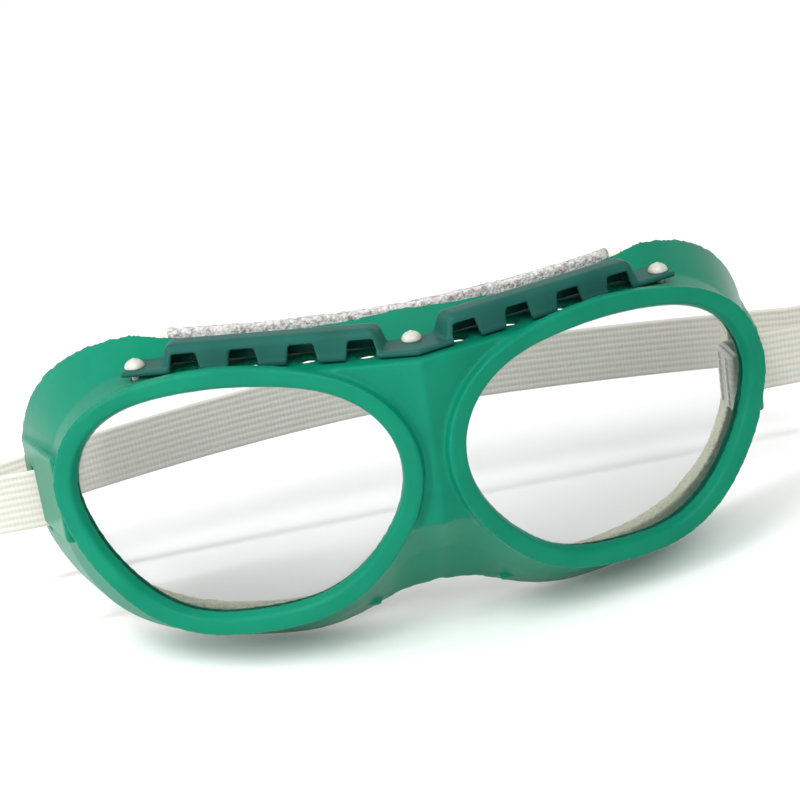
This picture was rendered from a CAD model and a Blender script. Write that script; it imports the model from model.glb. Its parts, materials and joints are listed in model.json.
import json
import math

import bmesh
import bpy
from mathutils import Matrix, Vector, noise


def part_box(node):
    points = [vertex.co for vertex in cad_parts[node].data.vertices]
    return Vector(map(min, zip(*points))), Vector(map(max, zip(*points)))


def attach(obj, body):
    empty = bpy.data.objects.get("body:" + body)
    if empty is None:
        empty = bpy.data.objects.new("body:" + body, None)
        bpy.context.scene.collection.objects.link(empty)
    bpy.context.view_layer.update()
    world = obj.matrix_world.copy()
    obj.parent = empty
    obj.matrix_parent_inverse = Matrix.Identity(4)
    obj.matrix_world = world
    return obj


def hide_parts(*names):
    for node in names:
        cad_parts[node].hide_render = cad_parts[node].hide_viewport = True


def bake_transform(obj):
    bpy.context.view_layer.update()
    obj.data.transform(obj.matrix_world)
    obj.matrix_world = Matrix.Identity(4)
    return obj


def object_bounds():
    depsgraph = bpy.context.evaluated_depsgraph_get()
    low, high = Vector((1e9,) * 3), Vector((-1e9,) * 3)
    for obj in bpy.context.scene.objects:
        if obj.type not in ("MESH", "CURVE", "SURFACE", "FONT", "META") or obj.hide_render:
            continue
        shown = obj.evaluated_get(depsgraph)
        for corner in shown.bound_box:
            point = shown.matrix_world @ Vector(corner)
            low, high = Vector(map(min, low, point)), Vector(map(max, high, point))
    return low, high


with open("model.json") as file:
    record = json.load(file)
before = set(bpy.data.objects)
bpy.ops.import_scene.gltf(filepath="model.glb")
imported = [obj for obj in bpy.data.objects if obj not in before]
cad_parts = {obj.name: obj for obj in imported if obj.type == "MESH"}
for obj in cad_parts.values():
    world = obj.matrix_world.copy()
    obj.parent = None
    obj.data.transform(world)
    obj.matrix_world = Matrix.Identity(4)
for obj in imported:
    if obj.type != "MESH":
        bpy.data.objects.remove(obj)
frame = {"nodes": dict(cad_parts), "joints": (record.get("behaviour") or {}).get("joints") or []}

CAD_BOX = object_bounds()
MM = 0.001


# ---- camera -------------------------------------------------------------------------------------

CAMERA_YAW = math.radians(6.3)
CAMERA_ELEVATION = math.radians(20.0)
CAMERA_ROLL = math.radians(-8.5)
CAMERA_DISTANCE = 0.450
CAMERA_TARGET = Vector((-0.0041, -0.012, 0.0156))
CAMERA_LENS = 91.26
SENSOR = 36.0


def make_camera():
    back = Vector(
        (
            -math.sin(CAMERA_YAW) * math.cos(CAMERA_ELEVATION),
            -math.cos(CAMERA_YAW) * math.cos(CAMERA_ELEVATION),
            math.sin(CAMERA_ELEVATION),
        )
    )
    right = (-back).cross(Vector((0, 0, 1))).normalized()
    up = right.cross(-back)
    c, s = math.cos(CAMERA_ROLL), math.sin(CAMERA_ROLL)
    rolled_right = c * right + s * up
    rolled_up = c * up - s * right
    data = bpy.data.cameras.new("camera")
    data.sensor_width = SENSOR
    data.lens = CAMERA_LENS
    data.clip_start = 0.01
    camera = bpy.data.objects.new("camera", data)
    bpy.context.scene.collection.objects.link(camera)
    turn = Matrix((rolled_right, rolled_up, back)).transposed().to_4x4()
    camera.matrix_world = Matrix.Translation(CAMERA_TARGET + back * CAMERA_DISTANCE) @ turn
    bpy.context.scene.camera = camera


# ---- materials ----------------------------------------------------------------------------------


class Look:
    """A material and short ways to add nodes to it."""

    def __init__(self, name):
        self.material = bpy.data.materials.new(name)
        self.material.use_nodes = True
        self.tree = self.material.node_tree
        self.tree.nodes.clear()
        self.out = self.add("ShaderNodeOutputMaterial")
        self.shader = self.add("ShaderNodeBsdfPrincipled")
        self.link(self.shader, "BSDF", self.out, "Surface")

    def add(self, kind, **settings):
        node = self.tree.nodes.new(kind)
        for key, value in settings.items():
            setattr(node, key, value)
        return node

    def link(self, source, output, target, socket):
        self.tree.links.new(source.outputs[output], target.inputs[socket])

    def set(self, **values):
        for key, value in values.items():
            self.shader.inputs[key.replace("_", " ")].default_value = value

    def noise(self, scale, detail=3.0, rough=0.55):
        where = self.add("ShaderNodeTexCoord")
        node = self.add("ShaderNodeTexNoise")
        node.inputs["Scale"].default_value = scale
        node.inputs["Detail"].default_value = detail
        node.inputs["Roughness"].default_value = rough
        self.link(where, "Object", node, "Vector")
        return node

    def ramp(self, source, output, stops):
        node = self.add("ShaderNodeValToRGB")
        ramp = node.color_ramp
        while len(ramp.elements) < len(stops):
            ramp.elements.new(0.5)
        for element, (position, color) in zip(ramp.elements, stops):
            element.position = position
            element.color = (*color, 1.0)
        self.link(source, output, node, "Fac")
        return node

    def bump(self, source, output, strength, distance):
        node = self.add("ShaderNodeBump")
        node.inputs["Strength"].default_value = strength
        node.inputs["Distance"].default_value = distance
        self.link(source, output, node, "Height")
        self.link(node, "Normal", self.shader, "Normal")

    def vary(self, source, output, low, high, socket):
        node = self.add("ShaderNodeMapRange")
        node.inputs["To Min"].default_value = low
        node.inputs["To Max"].default_value = high
        self.link(source, output, node, "Value")
        self.link(node, "Result", self.shader, socket)


CLOUD_LOW = 0.3
CLOUD_HIGH = 0.7


def moulded(name, dark, light, roughness, glow):
    """Soft PVC: faint flow mottling, fine surface grain and a little light let through."""
    look = Look(name)
    cloud = look.noise(scale=60.0, detail=2.0)
    tint = look.ramp(cloud, "Fac", [(CLOUD_LOW, dark), (CLOUD_HIGH, light)])
    look.link(tint, "Color", look.shader, "Base Color")
    look.vary(cloud, "Fac", roughness - 0.04, roughness + 0.06, "Roughness")
    grain = look.noise(scale=2600.0, detail=2.0)
    look.bump(grain, "Fac", strength=0.12, distance=0.00008)
    look.set(Subsurface_Weight=glow, Subsurface_Scale=0.003, Specular_IOR_Level=0.07)
    look.shader.inputs["Subsurface Radius"].default_value = (0.25, 1.0, 0.6)
    return look.material


def lens_look():
    look = Look("clear_lens")
    haze = look.noise(scale=90.0, detail=4.0)
    look.vary(haze, "Fac", 0.0, 0.03, "Roughness")
    look.set(Base_Color=(0.79, 0.8, 0.805, 1.0), Transmission_Weight=1.0, IOR=1.46)
    return look.material


def stud_look():
    look = Look("stud_plastic")
    cloud = look.noise(scale=500.0, detail=2.0)
    dark, light = (0.36, 0.37, 0.33), (0.44, 0.45, 0.4)
    tint = look.ramp(cloud, "Fac", [(CLOUD_LOW, dark), (CLOUD_HIGH, light)])
    look.link(tint, "Color", look.shader, "Base Color")
    look.vary(cloud, "Fac", 0.28, 0.4, "Roughness")
    look.set(Subsurface_Weight=0.4, Subsurface_Scale=0.0015)
    return look.material


def foam_look(name, dark, light, speck):
    """Open-cell foam: small pits and a three-tone speckle."""
    look = Look(name)
    cells = look.add("ShaderNodeTexVoronoi")
    where = look.add("ShaderNodeTexCoord")
    look.link(where, "Object", cells, "Vector")
    cells.inputs["Scale"].default_value = 1500.0
    cloud = look.noise(scale=900.0, detail=4.0, rough=0.7)
    tint = look.ramp(cloud, "Fac", [(0.33, speck), (0.45, dark), (0.62, light)])
    look.link(tint, "Color", look.shader, "Base Color")
    look.bump(cells, "Distance", strength=0.7, distance=0.0004)
    look.set(Roughness=0.95, Subsurface_Weight=0.25, Subsurface_Scale=0.002)
    return look.material


def web_look():
    """Woven elastic: ribs along the band crossed by rows of fine knit, in the band's own coordinates."""
    look = Look("elastic_web")
    where = look.add("ShaderNodeTexCoord")
    split = look.add("ShaderNodeSeparateXYZ")
    look.link(where, "UV", split, "Vector")

    def wave(axis, pitch):
        scale = look.add("ShaderNodeMath", operation="MULTIPLY")
        look.link(split, axis, scale, 0)
        scale.inputs[1].default_value = 2 * math.pi / pitch
        sine = look.add("ShaderNodeMath", operation="SINE")
        look.link(scale, "Value", sine, 0)
        return sine

    rows = wave("X", KNIT_PITCH)
    ribs = wave("Y", STRAP_WIDTH / STRAP_RIBS)
    knit = look.add("ShaderNodeMath", operation="MULTIPLY_ADD")
    look.link(rows, "Value", knit, 0)
    knit.inputs[1].default_value = 0.3
    look.link(ribs, "Value", knit, 2)
    thread = look.noise(scale=2200.0, detail=3.0, rough=0.6)
    height = look.add("ShaderNodeMath", operation="MULTIPLY_ADD")
    look.link(thread, "Fac", height, 0)
    height.inputs[1].default_value = 0.6
    look.link(knit, "Value", height, 2)
    look.bump(height, "Value", strength=0.35, distance=0.00012)
    valley, crown = (0.46, 0.455, 0.4), (0.53, 0.52, 0.465)
    tint = look.ramp(height, "Value", [(0.0, valley), (0.35, crown)])
    look.link(tint, "Color", look.shader, "Base Color")
    look.set(Roughness=0.85, Sheen_Weight=0.3, Subsurface_Weight=0.15, Subsurface_Scale=0.001)
    look.shader.inputs["Sheen Roughness"].default_value = 0.5
    return look.material


def thread_look():
    look = Look("sewing_thread")
    twist = look.noise(scale=3000.0, detail=2.0)
    dark, light = (0.7, 0.69, 0.64), (0.86, 0.85, 0.8)
    tint = look.ramp(twist, "Fac", [(0.35, dark), (0.65, light)])
    look.link(tint, "Color", look.shader, "Base Color")
    look.bump(twist, "Fac", strength=0.5, distance=0.0001)
    look.set(Roughness=0.8)
    return look.material


# ---- mesh helpers -------------------------------------------------------------------------------


def evaluated(obj):
    """The object's mesh with its modifiers applied."""
    graph = bpy.context.evaluated_depsgraph_get()
    return bpy.data.meshes.new_from_object(obj.evaluated_get(graph))


def apply_modifiers(obj):
    mesh = evaluated(obj)
    obj.modifiers.clear()
    obj.data = mesh


def link_object(name, mesh, material):
    obj = bpy.data.objects.new(name, mesh)
    bpy.context.scene.collection.objects.link(obj)
    mesh.materials.clear()
    mesh.materials.append(material)
    return obj


def remoulded(node, name, material, voxel, smoothing):
    """A copy of a CAD piece with its edges rounded as moulding leaves them."""
    mesh = frame["nodes"][node].data.copy()
    obj = link_object(name, mesh, material)
    remesh = obj.modifiers.new("remesh", "REMESH")
    remesh.mode = "VOXEL"
    remesh.voxel_size = voxel
    soften = obj.modifiers.new("soften", "SMOOTH")
    soften.factor = 0.5
    soften.iterations = smoothing
    apply_modifiers(obj)
    obj.data.materials.clear()
    obj.data.materials.append(material)
    obj.data.shade_smooth()
    return obj


def settle(obj, body, slot, *nodes):
    """Mounts a finished piece on its body in place of its CAD nodes."""
    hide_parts(*nodes)
    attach(obj, body)


# ---- rigid pieces -------------------------------------------------------------------------------


def make_frame_body():
    dark, light = (0.002, 0.142, 0.083), (0.003, 0.168, 0.096)
    green = moulded("green_pvc", dark, light, roughness=0.3, glow=0.12)
    body = remoulded("frame_body", "goggle_frame", green, voxel=0.45 * MM, smoothing=14)
    settle(body, "frame", "green_pvc", "frame_body")


def make_vent_cover():
    dark, light = (0.008, 0.062, 0.05), (0.012, 0.082, 0.066)
    teal = moulded("dark_pvc", dark, light, roughness=0.3, glow=0.1)
    cover = remoulded("vent_cover", "vent_hoods", teal, voxel=0.3 * MM, smoothing=8)
    settle(cover, "frame", "dark_pvc", "vent_cover")


def make_studs():
    plastic = stud_look()
    for side in ("left", "centre", "right"):
        node = f"vent_stud_{side}"
        stud = remoulded(node, f"stud_{side}", plastic, voxel=0.16 * MM, smoothing=3)
        settle(stud, "frame", "white_plastic", node)


def dress(node, material):
    """Gives a CAD node that stays in view its material."""
    piece = frame["nodes"][node]
    for k in range(len(piece.material_slots)):
        piece.material_slots[k].material = material


def dress_lenses():
    glass = lens_look()
    for side in ("left", "right"):
        dress(f"lens_{side}", glass)


def dress_stitching():
    thread = thread_look()
    for side in ("left", "right"):
        dress(f"strap_stitching_{side}", thread)


# ---- foam ---------------------------------------------------------------------------------------


FOAM_FINE = (900, 0.16)
FOAM_COARSE = (250, 0.22)


def make_foam_piece(node, name, material, slot):
    """A pad with rounded edges and an uneven cut surface."""
    pad = remoulded(node, name, material, voxel=0.6 * MM, smoothing=6)
    for vertex in pad.data.vertices:
        p = vertex.co
        fine = noise.noise(p * FOAM_FINE[0]) * FOAM_FINE[1]
        coarse = noise.noise(p * FOAM_COARSE[0]) * FOAM_COARSE[1]
        vertex.co = p + vertex.normal * (fine + coarse) * MM
    settle(pad, "frame", slot, node)


def make_foam():
    grey = foam_look(
        "grey_foam",
        dark=(0.36, 0.35, 0.34),
        light=(0.56, 0.56, 0.545),
        speck=(0.16, 0.145, 0.135),
    )
    cream = foam_look(
        "cream_foam",
        dark=(0.6, 0.6, 0.44),
        light=(0.72, 0.72, 0.56),
        speck=(0.5, 0.5, 0.36),
    )
    make_foam_piece("foam_brow", "brow_pad", grey, "grey_foam")
    for side in ("left", "right"):
        make_foam_piece(f"foam_cheek_{side}", f"cheek_pad_{side}", cream, "cream_foam")


# ---- strap --------------------------------------------------------------------------------------

STRAP_JOINT = frame["joints"][0]
STRAP_AXIS_Y = STRAP_JOINT["pos_m"][1]
STRAP_AXIS_Z = STRAP_JOINT["pos_m"][2]
_, LOOP_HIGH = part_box("strap_loop")
END_LOW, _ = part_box("strap_end_left")
STRAP_WIDTH = 15 * MM
STRAP_THICK = 1.3 * MM
STRAP_RIBS = 9
KNIT_PITCH = 0.95 * MM
RIB_HEIGHT = 0.06 * MM
RIB_STEPS = 6
EDGE_START = 0.93
EDGE_SPAN = 0.07
INSIDE_DROP = 0.1 * MM
OUTSIDE_DROP = 0.05 * MM
LOOP_MIDDLE_RISE = 2.0 * MM
LOOP_SAG = 7.0 * MM
LOOP_TILT = 1.8 * MM
LOOP_CURVE = 1.6
FOLD_CLEARANCE = 0.2 * MM
FOLD_OPENING = 1.02
FOLD_RUN = 9.0 * MM
BACK_STEPS = 100
TURN_STEPS = 48
RUN_STEPS = 29
BEND_STEPS = 6
SIDE_STEPS = 12
FOLD_STEPS = 8
END_STEPS = 10


def strap_path(side):
    """Centre line of one half from the middle of the back run to the folded end."""
    back_y = LOOP_HIGH.y - STRAP_THICK / 2
    turn = (back_y - STRAP_AXIS_Y) / 2
    turn_x = LOOP_HIGH.x - STRAP_THICK / 2 - turn
    low = STRAP_AXIS_Z - LOOP_SAG + side * LOOP_TILT
    middle = STRAP_AXIS_Z + LOOP_MIDDLE_RISE
    bend = STRAP_THICK / 2
    inner = END_LOW.x + STRAP_THICK * 1.5 + FOLD_CLEARANCE
    end_y = END_LOW.y + STRAP_THICK
    points = []
    # back run
    for k in range(BACK_STEPS):
        x = turn_x * k / BACK_STEPS
        rise = 1 - (x / turn_x) ** LOOP_CURVE
        points.append((x, back_y, low + (middle - low) * rise))
    # turn at the side of the head
    for k in range(TURN_STEPS + 1):
        a = math.pi * (1 - k / TURN_STEPS)
        ease = (1 - math.cos(a)) / 2
        x = turn_x + turn * math.sin(a)
        y = STRAP_AXIS_Y + turn * (1 - math.cos(a))
        points.append((x, y, STRAP_AXIS_Z + (low - STRAP_AXIS_Z) * ease))
    # in through the slot
    for k in range(1, RUN_STEPS + 1):
        x = turn_x + (inner + bend - turn_x) * k / RUN_STEPS
        points.append((x, STRAP_AXIS_Y, STRAP_AXIS_Z))
    # round the corner and forwards along the wall
    for k in range(1, BEND_STEPS + 1):
        a = math.pi / 2 * k / BEND_STEPS
        x = inner + bend * (1 - math.sin(a))
        y = STRAP_AXIS_Y - bend * (1 - math.cos(a))
        points.append((x, y, STRAP_AXIS_Z))
    for k in range(1, SIDE_STEPS + 1):
        y = STRAP_AXIS_Y - bend + (end_y - STRAP_AXIS_Y + bend) * k / SIDE_STEPS
        points.append((inner, y, STRAP_AXIS_Z))
    # folded back on itself
    for k in range(1, FOLD_STEPS + 1):
        a = math.pi * k / FOLD_STEPS
        x = inner - bend * FOLD_OPENING * (1 - math.cos(a))
        y = end_y - bend * math.sin(a)
        points.append((x, y, STRAP_AXIS_Z))
    for k in range(1, END_STEPS + 1):
        x = inner - 2 * FOLD_OPENING * bend
        points.append((x, end_y + FOLD_RUN * k / END_STEPS, STRAP_AXIS_Z))
    return [Vector((side * x, y, z)) for x, y, z in points]


def strap_profile():
    """Half-round edges and shallow ribs: (across, through) points round the band's section."""
    steps = STRAP_RIBS * RIB_STEPS
    half = STRAP_WIDTH / 2
    through = STRAP_THICK / 2
    inside, outside = [], []
    for k in range(steps + 1):
        share = k / steps
        across = -half + STRAP_WIDTH * share
        edge = max(0.0, abs(2 * share - 1) - EDGE_START) / EDGE_SPAN
        round_off = math.sqrt(max(0.0, 1 - edge * edge))
        rib = RIB_HEIGHT * abs(math.sin(math.pi * STRAP_RIBS * share)) ** 0.5
        inside.append((across, -(through - INSIDE_DROP) * round_off - rib * round_off))
        outside.append((across, (through - OUTSIDE_DROP) * round_off + 0.5 * rib * round_off))
    return inside + outside[::-1][1:-1]


def band_rings(mesh, path, profile):
    """The section repeated at every point of the path, and the length travelled to each."""
    rings, lengths = [], []
    travelled = 0.0
    for k, point in enumerate(path):
        before, after = path[max(k - 1, 0)], path[min(k + 1, len(path) - 1)]
        along = (after - before).normalized()
        flat = Vector((along.x, along.y, 0)).normalized()
        through = Vector((-flat.y, flat.x, 0))
        across = Vector((0, 0, 1))
        if k:
            travelled += (point - path[k - 1]).length
        lengths.append(travelled)
        rings.append([mesh.verts.new(point + across * a + through * t) for a, t in profile])
    return rings, lengths


def make_strap():
    """The whole band in one piece, from one sewn end round the head to the other."""
    path = strap_path(-1)[:0:-1] + strap_path(1)
    profile = strap_profile()
    mesh = bmesh.new()
    uv = mesh.loops.layers.uv.new("band")
    rings, lengths = band_rings(mesh, path, profile)
    count = len(profile)
    for k in range(len(rings) - 1):
        for j in range(count):
            n = (j + 1) % count
            corners = ((k, j), (k, n), (k + 1, n), (k + 1, j))
            face = mesh.faces.new([rings[ring][item] for ring, item in corners])
            for loop, (ring, item) in zip(face.loops, corners):
                loop[uv].uv = (lengths[ring], profile[item][0])
    for ring in (rings[0], rings[-1]):
        mesh.faces.new(ring)
    bmesh.ops.recalc_face_normals(mesh, faces=mesh.faces)
    data = bpy.data.meshes.new("elastic_band")
    mesh.to_mesh(data)
    mesh.free()
    data.shade_smooth()
    band = link_object("elastic_band", data, web_look())
    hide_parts("strap_loop", "strap_end_left", "strap_end_right")
    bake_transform(band)


# ---- floor and light ----------------------------------------------------------------------------


FLOOR_HALF = 4.0
SKY_STRENGTH = 0.83
KEY_TOWARDS = (-0.15, 0.75, -0.8)
KEY_ANGLE = 30
KEY_POWER = 1.1

# name, place, aim, size, power
STRIPS = (
    ("strip_left", (-0.42, -0.3, 0.16), (0, 0, 0), (0.025, 0.3), 1.2),
    ("strip_middle", (-0.12, -0.3, 0.42), (0, 0, -0.02), (0.01, 0.25), 1.0),
    ("strip_top", (-0.35, 0.0, 0.35), (0, 0, 0), (0.02, 0.3), 1.0),
)


def make_floor():
    half = FLOOR_HALF
    low = CAD_BOX[0][2]
    data = bpy.data.meshes.new("floor")
    corners = [(-half, -half, low), (half, -half, low), (half, half, low), (-half, half, low)]
    data.from_pydata(corners, [], [(0, 1, 2, 3)])
    look = Look("floor_white")
    look.set(Base_Color=(0.94, 0.94, 0.94, 1.0), Roughness=0.6, Specular_IOR_Level=0.2)
    floor = link_object("floor", data, look.material)


def area_light(name, place, aim, size, power):
    data = bpy.data.lights.new(name, "AREA")
    data.shape = "RECTANGLE"
    data.size, data.size_y = size
    data.energy = power
    light = bpy.data.objects.new(name, data)
    bpy.context.scene.collection.objects.link(light)
    light.location = place
    light.rotation_euler = (Vector(aim) - Vector(place)).to_track_quat("-Z", "Y").to_euler()


def sun_light(name, towards, angle, power):
    data = bpy.data.lights.new(name, "SUN")
    data.energy = power
    data.angle = math.radians(angle)
    light = bpy.data.objects.new(name, data)
    bpy.context.scene.collection.objects.link(light)
    light.rotation_euler = Vector(towards).to_track_quat("-Z", "Y").to_euler()


def make_light():
    world = bpy.data.worlds.new("studio")
    bpy.context.scene.world = world
    world.use_nodes = True
    sky = world.node_tree.nodes["Background"]
    sky.inputs["Color"].default_value = (1.0, 1.0, 1.0, 1.0)
    sky.inputs["Strength"].default_value = SKY_STRENGTH
    sun_light("key", KEY_TOWARDS, KEY_ANGLE, KEY_POWER)
    for strip in STRIPS:
        area_light(*strip)
    bpy.context.scene.view_settings.view_transform = "Standard"


make_camera()
make_floor()
make_light()
make_frame_body()
make_vent_cover()
make_studs()
dress_lenses()
make_foam()
make_strap()
dress_stitching()
